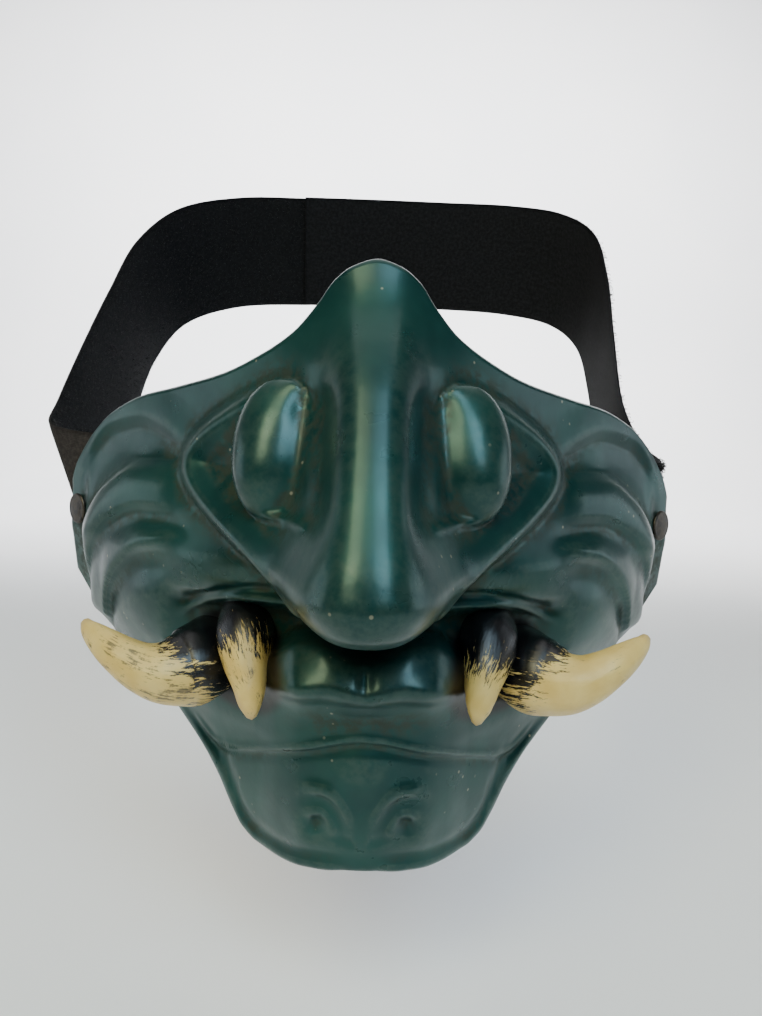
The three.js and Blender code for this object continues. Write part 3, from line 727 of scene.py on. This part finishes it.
def build_tooth(name, line, radii, side, sides=56):
    plan = drawn([(p[0] * side, p[1]) for p in line], 16)
    level = drawn([(number, p[2]) for number, p in enumerate(line)], 16)
    centre = np.column_stack([plan, level[:, 1]])
    share = np.linspace(0, 1, len(centre))
    radius = curve([(i / (len(radii) - 1), r) for i, r in enumerate(radii)], share)
    tangent = np.gradient(centre, axis=0)
    tangent /= np.linalg.norm(tangent, axis=1, keepdims=True)
    across = np.cross(tangent, (0, 0.45, 1))
    across /= np.linalg.norm(across, axis=1, keepdims=True)
    upward = np.cross(across, tangent)
    angle = np.arange(sides) / sides * 2 * math.pi
    part_way = share[:, None]
    wobble = 1 + 0.02 * np.sin(3 * angle + 4 * part_way) + 0.012 * np.sin(7 * angle - 9 * part_way)
    spokes = upward[:, None] * np.cos(angle)[None, :, None] + across[:, None] * np.sin(angle)[None, :, None]
    rings = centre[:, None] + radius[:, None, None] * wobble[..., None] * spokes
    tip = centre[-1] + tangent[-1] * radius[-1] * 0.6
    count = len(centre)
    faces = []
    for j in range(count - 1):
        for k in range(sides):
            n = (k + 1) % sides
            faces.append([j * sides + k, j * sides + n, (j + 1) * sides + n, (j + 1) * sides + k])
    for k in range(sides):
        n = (k + 1) % sides
        faces.append([count * sides, n, k])
        faces.append([count * sides + 1, (count - 1) * sides + k, (count - 1) * sides + n])
    points = np.concatenate([rings.reshape(-1, 3), centre[:1], [tip]])
    face_depth = outer_surface(points[:, 0], points[:, 2])[:, 1]
    points[:, 1] = np.minimum(points[:, 1], face_depth + ROOT_IN_WALL)
    piece = mesh_piece(name, points, faces)
    keep_number(piece, "along", np.concatenate([np.repeat(share, sides), [0, 1]]))
    keep_number(piece, "upward", np.concatenate([np.tile(np.cos(angle), count), [0, 0]]))
    keep_number(piece, "sideways", np.concatenate([np.tile(np.sin(angle), count), [0, 0]]))
    return piece


# %% [markdown]
# ## Enamel brushed into black
# The teeth are pale yellow with black roots, and the edge between the two is ragged. Noise stretched
# along the tooth gives the strokes, and each tooth has its own numbers, so no two look alike. The top
# side of each tooth also carries a painted grey sheen where light falls on it.

# %% Enamel brushed into black
BLACK_PAINT = (0.003, 0.003, 0.004)


def tooth_enamel(name, edge, tilt, scuffs_and_sheen, seed):
    """edge is how far along the black root reaches, tilt how much further it reaches on top than below,
    and the last number how much black is rubbed over the rest and how strong the painted grey sheen on the
    top side is."""
    material, tree, shader = new_material(name)
    where = add(tree, "ShaderNodeTexCoord").outputs["Object"]
    along, top = stored(tree, "along"), stored(tree, "upward")
    around = add(tree, "ShaderNodeCombineXYZ")
    join(tree, times(tree, top, 2.4), around.inputs[0])
    join(tree, times(tree, stored(tree, "sideways"), 2.4), around.inputs[1])
    join(tree, plus(tree, times(tree, along, 2.6), seed), around.inputs[2])
    strokes = noise(tree, around.outputs[0], 4.4, 6, 0.72)
    patches = noise(tree, where, 230, 5, 0.65)
    lean = times(tree, top, -tilt)
    ragged = times(tree, arithmetic(tree, "SUBTRACT", strokes, 0.5), -0.95)
    reach = plus(tree, plus(tree, along, lean), ragged)
    painted = remap(tree, reach, edge - 0.012, edge + 0.02)
    tone = remap(tree, noise(tree, where, 150, 4), 0.3, 0.7)
    enamel = blend(tree, tone, (0.60, 0.405, 0.105), (0.70, 0.51, 0.165))
    enamel = blend(tree, remap(tree, along, 0.88, 1.0), enamel, (0.52, 0.36, 0.13))
    rubbed = remap(tree, times(tree, patches, strokes), 0.335 - scuffs_and_sheen, 0.40 - scuffs_and_sheen)
    enamel = blend(tree, times(tree, rubbed, 0.8), enamel, (0.055, 0.042, 0.020))
    # The top side of each tooth gets a painted grey sheen that stands in for light falling on it; it fades
    # out toward the tip.
    top_sheen = times(tree, remap(tree, top, 0.55, 1.0), remap(tree, along, 0.8, 0.5))
    enamel = blend(tree, times(tree, top_sheen, 5 * scuffs_and_sheen), enamel, (0.17, 0.15, 0.09))
    colour = blend(tree, painted, BLACK_PAINT, enamel)
    join(tree, colour, shader.inputs["Base Color"])
    join(tree, remap(tree, painted, 0, 1, 0.16, 0.42), shader.inputs["Roughness"])
    set_inputs(shader, {"Coat Weight": 0.2, "Coat Roughness": 0.2})
    height = plus(tree, strokes, times(tree, patches, 0.5))
    height = plus(tree, height, times(tree, painted, 0.6))
    roughen(tree, shader, height, 0.35, 0.0006)
    return material


TEETH = [
    ("tusk", "left", -1, TUSK_LINE, TUSK_RADII, 0.29, 0.14, 0.06),
    ("tusk", "right", 1, TUSK_LINE, TUSK_RADII, 0.24, 0.15, 0.0),
    ("fang", "left", -1, FANG_LINE, FANG_RADII, 0.34, 0.03, 0.045),
    ("fang", "right", 1, FANG_LINE, FANG_RADII, 0.46, 0.03, 0.01),
]
for number, (kind, hand, side, line, radii, edge, tilt, scuffs_and_sheen) in enumerate(TEETH):
    tooth = build_tooth(f"carved_{kind}_{hand}", line, radii, side)
    tooth.data.materials.append(tooth_enamel(f"enamel_{kind}_{hand}", edge, tilt, scuffs_and_sheen, 3.7 * number))
    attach(tooth, "root")
    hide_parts(f"{kind}_{hand}")

# %% [markdown]
# ## Rivets
# Each strap is held by one rivet through the cheek's flange: a flat head outside and a small flat tail
# inside. A profile turned round an axis makes it, with a slightly domed face and a rolled lip.

# %% Rivets
RIVET_X = 87.2
RIVET_Z = -57.5
GRIP = 10.7
SEAT_LIFT = 0.4
RIVET_PROFILE = [(0, 1.25), (1.6, 1.22), (2.8, 1.1), (3.7, 0.9), (4.0, 0.95), (4.3, 0.85), (4.5, 0.55),
                 (4.45, 0.15), (4.2, 0), (1.9, 0), (1.9, -GRIP), (3.3, -GRIP), (3.6, -GRIP - 0.3),
                 (3.5, -GRIP - 0.8), (3.1, -GRIP - 1), (0, -GRIP - 1)]


def rivet_seat(side):
    here = outer_surface(np.array([side * RIVET_X]), np.array([float(RIVET_Z)]))[0]
    inner, outer = base_depth(np.array([RIVET_X - 1, RIVET_X + 1]), np.full(2, RIVET_Z))
    facing = np.array([side * (outer - inner) / 2, -1, 0])
    facing /= np.linalg.norm(facing)
    return here + SEAT_LIFT * facing, facing


def build_rivet(name, side, sides=64):
    seat, facing = rivet_seat(side)
    first = np.array([0, 0, 1.0])
    second = np.cross(facing, first)
    angle = np.arange(sides) / sides * 2 * math.pi
    rings = [(r, h) for r, h in RIVET_PROFILE if r > 0]
    points = [seat + facing * RIVET_PROFILE[0][1]]
    for r, h in rings:
        points += [seat + facing * h + r * (first * math.cos(a) + second * math.sin(a)) for a in angle]
    points.append(seat + facing * RIVET_PROFILE[-1][1])
    faces = []
    for k in range(sides):
        n = (k + 1) % sides
        faces.append([0, 1 + n, 1 + k])
        for j in range(len(rings) - 1):
            a, b = 1 + j * sides, 1 + (j + 1) * sides
            faces.append([a + k, a + n, b + n, b + k])
        last = 1 + (len(rings) - 1) * sides
        faces.append([len(points) - 1, last + k, last + n])
    return mesh_piece(name, points, faces)


def rivet_metal():
    material, tree, shader = new_material("dark_rivet_metal")
    where = add(tree, "ShaderNodeTexCoord").outputs["Object"]
    patina = noise(tree, where, 500, 5, 0.6)
    colour = blend(tree, remap(tree, patina, 0.35, 0.65), (0.022, 0.019, 0.016), (0.085, 0.070, 0.055))
    join(tree, colour, shader.inputs["Base Color"])
    join(tree, remap(tree, patina, 0.3, 0.7, 0.28, 0.5), shader.inputs["Roughness"])
    shader.inputs["Metallic"].default_value = 0.9
    roughen(tree, shader, noise(tree, where, 1500, 3), 0.15, 0.0003)
    return material


metal = rivet_metal()
for hand, side in (("left", -1), ("right", 1)):
    rivet = build_rivet(f"turned_rivet_{hand}", side)
    rivet.data.materials.append(metal)
    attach(rivet, "root")
    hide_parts(f"rivet_{hand}")

# %% [markdown]
# ## The two tapes
# A tape is a band between two long edges. The left one is loop tape: soft pile towards the head, smooth
# grey-brown weave outside. The right one is hook tape: stiff bristles outside, smooth weave inside. They
# overlap behind the head, hooks into loops. Both edges are smooth lines through listed points.

# %% Tape bands
LOOP_UPPER = [(-80, 58, -35), (-88, 67, -35), (-98, 71.5, -34), (-106, 77, -32), (-108.5, 90, -24),
              (-108, 110, -4), (-105.5, 133, 21), (-101, 155, 46), (-89, 178, 66), (-66, 197, 77),
              (-34, 208, 81), (0, 211.5, 82), (34, 208, 81)]
LOOP_LOWER = [(-67, 45.5, -79), (-78, 56, -80), (-87, 67, -79), (-91, 76, -75), (-94, 90, -68),
              (-97, 112, -51), (-98, 140, -27), (-97, 167, -2), (-89, 190, 17), (-68, 208, 28),
              (-35, 219, 32), (0, 223, 33), (35, 219, 32)]
HOOK_UPPER = [(80, 58, -37), (86.5, 65.5, -38), (93, 71, -39), (96, 79, -38), (95.5, 95, -33),
              (94, 114, -18), (94.5, 131, 8), (95, 147, 36), (92.5, 162, 57), (82, 180, 70), (62, 195, 77),
              (32, 205.4, 80.5), (0, 208.6, 81.7), (-36, 204.9, 80.6)]
HOOK_LOWER = [(67, 45.5, -79), (78, 56, -80), (87, 67, -79), (90, 76, -78), (90, 92, -76),
              (90, 114, -66), (92, 138, -40), (93, 158, -11), (91, 175, 10), (82, 192, 22), (62, 206.5, 28.5),
              (32, 216.4, 31.5), (0, 220, 32.7), (-36, 216, 31.6)]
LOOP_TAPE_T = 1.3
HOOK_TAPE_T = 1.1
TAPE_STEPS = 360
TAPE_ACROSS = 24
HEAD_MIDDLE = np.array([0, 95, 0])


def smooth_line(points, count):
    """A centripetal Catmull-Rom line, as a draughtsman's spline would lie."""
    p = np.array(points, float)
    p = np.vstack([2 * p[0] - p[1], p, 2 * p[-1] - p[-2]])
    places = []
    for a, b, c, d in zip(p[:-3], p[1:-2], p[2:-1], p[3:]):
        t1 = max(np.linalg.norm(b - a), 1e-6) ** 0.5
        t2 = t1 + max(np.linalg.norm(c - b), 1e-6) ** 0.5
        t3 = t2 + max(np.linalg.norm(d - c), 1e-6) ** 0.5
        for t in np.linspace(t1, t2, 24, endpoint=False):
            ab = a * (t1 - t) / t1 + b * t / t1
            bc = b * (t2 - t) / (t2 - t1) + c * (t - t1) / (t2 - t1)
            cd = c * (t3 - t) / (t3 - t2) + d * (t - t2) / (t3 - t2)
            abc = ab * (t2 - t) / t2 + bc * t / t2
            bcd = bc * (t3 - t) / (t3 - t1) + cd * (t - t1) / (t3 - t1)
            places.append(abc * (t2 - t) / (t2 - t1) + bcd * (t - t1) / (t2 - t1))
    places = np.array(places + [p[-2]])
    shares = np.linspace(0, 1, len(places))
    wanted = np.linspace(0, 1, count)
    return np.column_stack([np.interp(wanted, shares, places[:, k]) for k in range(3)])


def tape_middle(upper, lower):
    a, b = smooth_line(upper, TAPE_STEPS + 1), smooth_line(lower, TAPE_STEPS + 1)
    s = np.linspace(0, 1, TAPE_ACROSS + 1)[None, :, None]
    middle = a[:, None] * (1 - s) + b[:, None] * s
    normal = np.cross(np.gradient(middle, axis=0), np.gradient(middle, axis=1))
    normal /= np.linalg.norm(normal, axis=-1, keepdims=True)
    away = middle - HEAD_MIDDLE
    away[..., 2] = 0
    if (normal * away).sum() < 0:
        normal = -normal
    return middle, normal


def build_tape(name, middle, normal, thickness):
    """A closed band; its selvedges are a little thinner than its middle."""
    s = np.linspace(-1, 1, TAPE_ACROSS + 1)
    half = thickness / 2 * (1 - 0.35 * np.abs(s) ** 14)[None, :, None]
    outside, inside = middle + normal * half, middle - normal * half
    columns, rows = middle.shape[:2]
    first = columns * rows
    one, two = net_border(columns, rows), net_border(columns, rows, first)
    facing = np.cross(middle[1, 0] - middle[0, 0], middle[0, 1] - middle[0, 0]) @ normal[0, 0] < 0
    faces = net_faces(columns, rows, 0, flip=not facing) + net_faces(columns, rows, first, flip=facing)
    rim = np.stack([one, np.roll(one, -1), np.roll(two, -1), two], 1)
    faces += (rim if not facing else rim[:, ::-1]).tolist()
    piece = mesh_piece(name, np.concatenate([outside.reshape(-1, 3), inside.reshape(-1, 3)]), faces)
    steps = np.linalg.norm(np.diff(middle[:, rows // 2], axis=0), axis=1)
    length = np.concatenate([[0], np.cumsum(steps)])
    width = np.linalg.norm(middle[:, -1] - middle[:, 0], axis=1)
    along = np.repeat(length[:, None], rows, 1)
    across = width[:, None] * (s[None, :] + 1) / 2
    keep_number(piece, "along_mm", np.tile(along.ravel(), 2))
    keep_number(piece, "across_mm", np.tile(across.ravel(), 2))
    keep_number(piece, "outside", np.repeat([1.0, 0.0], columns * rows))
    print(name, "is", round(float(length[-1]), 1), "mm long and", round(float(width.mean()), 1), "mm wide")
    return piece


# %% [markdown]
# ## The weave
# The flat sides of the tapes are woven. Two wave textures, one along the tape and one across it, are
# the threads, and the numbers stored on the band keep them straight wherever the tape bends.

# %% Woven tape
def tape_weave(name, outside_colour, inside_colour):
    material, tree, shader = new_material(name)
    place = add(tree, "ShaderNodeCombineXYZ")
    join(tree, stored(tree, "along_mm"), place.inputs[0])
    join(tree, stored(tree, "across_mm"), place.inputs[1])
    waves = []
    for direction, scale, waver in (("Y", 0.55, 0.6), ("X", 0.8, 0.5)):
        values = {"Scale": scale, "Distortion": waver, "Detail": 1.0}
        wave = add(tree, "ShaderNodeTexWave", values, bands_direction=direction)
        join(tree, place, wave.inputs["Vector"])
        waves.append(wave.outputs["Fac"])
    threads = arithmetic(tree, "MAXIMUM", *waves)
    fluff = noise(tree, place.outputs[0], 0.7, 5, 0.7)
    outer_side = stored(tree, "outside")
    shade = blend(tree, remap(tree, fluff, 0.35, 0.7), outside_colour[0], outside_colour[1])
    pile = blend(tree, remap(tree, fluff, 0.35, 0.7), inside_colour[0], inside_colour[1])
    join(tree, blend(tree, outer_side, pile, shade), shader.inputs["Base Color"])
    join(tree, remap(tree, threads, 0, 1, 0.95, 0.8), shader.inputs["Roughness"])
    shader.inputs["Specular IOR Level"].default_value = 0.15
    roughen(tree, shader, plus(tree, threads, fluff), 0.5, 0.0004)
    return material


BLACK = ((0.004, 0.004, 0.005), (0.012, 0.012, 0.014))
GREY_BROWN = ((0.022, 0.018, 0.017), (0.045, 0.037, 0.034))
loop_middle, loop_out = tape_middle(LOOP_UPPER, LOOP_LOWER)
hook_middle, hook_out = tape_middle(HOOK_UPPER, HOOK_LOWER)
loop_tape = build_tape("woven_loop_tape", loop_middle, loop_out, LOOP_TAPE_T)
hook_tape = build_tape("woven_hook_tape", hook_middle, hook_out, HOOK_TAPE_T)
loop_tape.data.materials.append(tape_weave("loop_tape_weave", GREY_BROWN, BLACK))
hook_tape.data.materials.append(tape_weave("hook_tape_weave", BLACK, BLACK))
for tape, slot, node in ((loop_tape, "loop_tape", "strap_left"), (hook_tape, "hook_tape", "strap_right")):
    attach(tape, "root")
    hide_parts(node)

# %% [markdown]
# ## Loops and hooks
# Hook-and-loop tape works because one side is a pile of fine loops and the other a bed of bent bristles.
# A texture can't show that at the tape's edge, where they stand out against the light. Each strand here
# is a thin three-sided thread along a short bent path, and all the strands of a tape are one mesh.

# %% Strands on the tapes
def strands(name, middle, normal, count, path, thickness, seed):
    """path is the strand's shape: how far out it stands and how far it leans, step by step."""
    draw = np.random.default_rng(seed)
    columns, rows = middle.shape[:2]
    i = draw.integers(0, columns - 1, count)
    j = draw.integers(0, rows - 1, count)
    s, t = draw.random((count, 1)), draw.random((count, 1))
    along, across = middle[i + 1, j] - middle[i, j], middle[i, j + 1] - middle[i, j]
    root = middle[i, j] + s * along + t * across
    out = normal[i, j]
    turn = draw.random((count, 1)) * 2 * math.pi
    lean = np.cos(turn) * along / np.linalg.norm(along, axis=1, keepdims=True)
    lean = lean + np.sin(turn) * across / np.linalg.norm(across, axis=1, keepdims=True)
    size = 0.75 + 0.5 * draw.random((count, 1))
    side = np.cross(out, lean)
    side /= np.linalg.norm(side, axis=1, keepdims=True)
    steps = len(path)
    points = np.zeros((count, steps, 3, 3))
    for number, (height, reach) in enumerate(path):
        here = root + size * (height * out + reach * lean)
        width = thickness * (1 - 0.4 * number / (steps - 1))
        for corner in range(3):
            angle = corner * 2 * math.pi / 3
            points[:, number, corner] = here + width * (math.cos(angle) * side + math.sin(angle) * lean)
    first = np.arange(count)[:, None] * steps * 3
    walls = [[3 * n + c, 3 * n + (c + 1) % 3, 3 * n + 3 + (c + 1) % 3, 3 * n + 3 + c]
             for n in range(steps - 1) for c in range(3)]
    quads = (first[:, :, None] + np.array(walls)[None]).reshape(-1, 4)
    last = 3 * (steps - 1)
    caps = (first[:, :, None] + np.array([[2, 1, 0], [last, last + 1, last + 2]])[None]).reshape(-1, 3)
    return mesh_piece(name, points.reshape(-1, 3), quads.tolist() + caps.tolist(), smooth=False)


def strand_fibre(name, dark, pale):
    material, tree, shader = new_material(name)
    where = add(tree, "ShaderNodeTexCoord").outputs["Object"]
    tone = blend(tree, remap(tree, noise(tree, where, 600, 2), 0.35, 0.65), dark, pale)
    join(tree, tone, shader.inputs["Base Color"])
    join(tree, remap(tree, noise(tree, where, 900, 2), 0.3, 0.7, 0.45, 0.7), shader.inputs["Roughness"])
    shader.inputs["Specular IOR Level"].default_value = 0.3
    return material


LOOP_PATH = [(0.45, 0), (1.2, 0.15), (1.45, 0.6), (1.0, 1.0)]
HOOK_PATH = [(0.35, 0), (1.3, 0.0), (1.75, 0.25), (1.6, 0.6)]
loop_pile = strands("loop_pile", loop_middle, -loop_out, 9000, LOOP_PATH, 0.07, 21)
hook_bristles = strands("hook_bristles", hook_middle, hook_out, 8000, HOOK_PATH, 0.10, 22)
loop_pile.data.materials.append(strand_fibre("loop_fibre", (0.003, 0.003, 0.004), (0.010, 0.010, 0.012)))
hook_bristles.data.materials.append(strand_fibre("hook_fibre", (0.004, 0.004, 0.005), (0.014, 0.014, 0.016)))
for pile, slot in ((loop_pile, "loop_tape"), (hook_bristles, "hook_tape")):
    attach(pile, "root")

# %% [markdown]
# ## The stage
# A pale floor that curls up into a wall gives a clean background with no corner. Two tall soft lights
# like windows stand in front, the left one warm and the right one cool, and draw the twin bands down
# the nose. Faint ones fill the sides, one from above shows the tape, and a strong one washes the wall.

# %% Floor and lights
FLOOR_FRONT, FLOOR_BACK, WALL_TOP, STAGE_HALF = -1.2, 1.3, 2.6, 3.2
COVE = 0.5
FLOOR_DROP = 0.045


def build_stage():
    turns = np.linspace(0, math.pi / 2, 14)
    profile = [(FLOOR_BACK + COVE * math.sin(a), COVE - COVE * math.cos(a)) for a in turns]
    profile = [(FLOOR_FRONT, 0.0), *profile, (FLOOR_BACK + COVE, WALL_TOP)]
    floor_height = CAD_LOW[2] - FLOOR_DROP
    mesh = bpy.data.meshes.new("studio_floor")
    points = [(x, y, floor_height + z) for y, z in profile for x in (-STAGE_HALF, STAGE_HALF)]
    mesh.from_pydata(points, [], [(2 * i, 2 * i + 1, 2 * i + 3, 2 * i + 2) for i in range(len(profile) - 1)])
    mesh.shade_smooth()
    floor = bpy.data.objects.new("studio_floor", mesh)
    bpy.context.collection.objects.link(floor)
    material, tree, shader = new_material("pale_floor")
    where = add(tree, "ShaderNodeTexCoord").outputs["Object"]
    cloud = remap(tree, noise(tree, where, 3, 2), 0.3, 0.7)
    tone = blend(tree, cloud, (0.84, 0.85, 0.87), (0.88, 0.88, 0.89))
    join(tree, tone, shader.inputs["Base Color"])
    shader.inputs["Roughness"].default_value = 0.7
    mesh.materials.append(material)
    floor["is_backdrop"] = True


AIM = Vector((0, 0.03, -0.055))
WALL_AIM = Vector((0, 1.7, 0.3))


def soft_light(name, azimuth, elevation, distance, size, power, colour, spread, aim=AIM):
    """A soft box at an angle round the guard; azimuth 0 is in front, positive is to the viewer's right."""
    turn, rise = math.radians(azimuth), math.radians(elevation)
    level = distance * math.cos(rise)
    place = AIM + Vector((level * math.sin(turn), -level * math.cos(turn), distance * math.sin(rise)))
    data = bpy.data.lights.new(name, "AREA")
    data.shape = "RECTANGLE"
    data.size, data.size_y = size
    data.energy = power
    data.color = colour
    data.spread = math.radians(spread)
    light = bpy.data.objects.new(name, data)
    light.location = place
    light.rotation_euler = (aim - place).to_track_quat("-Z", "Y").to_euler()
    bpy.context.collection.objects.link(light)


build_stage()
soft_light("left_window", -26, 44, 1.0, (0.36, 0.85), 1.7, (1.0, 0.95, 0.58), 80)
soft_light("right_window", 20, 44, 1.0, (0.32, 0.85), 1.7, (0.58, 0.82, 1.0), 80)
soft_light("left_side", -96, 4, 0.9, (0.55, 0.5), 0.33, (0.85, 0.93, 1.0), 90)
soft_light("right_side", 96, 4, 0.9, (0.55, 0.5), 0.38, (0.85, 0.93, 1.0), 90)
soft_light("top_soft", 180, 75, 1.0, (1.0, 0.8), 1.6, (1.0, 0.99, 0.97), 120)
soft_light("wall_wash", 180, 64, 1.25, (2.2, 0.5), 62.0, (1.0, 1.0, 1.0), 125, WALL_AIM)
world = bpy.data.worlds.new("dim_room")
world.use_nodes = True
set_inputs(world.node_tree.nodes["Background"], {"Color": (0.75, 0.78, 0.82, 1), "Strength": 0.12})
bpy.context.scene.world = world
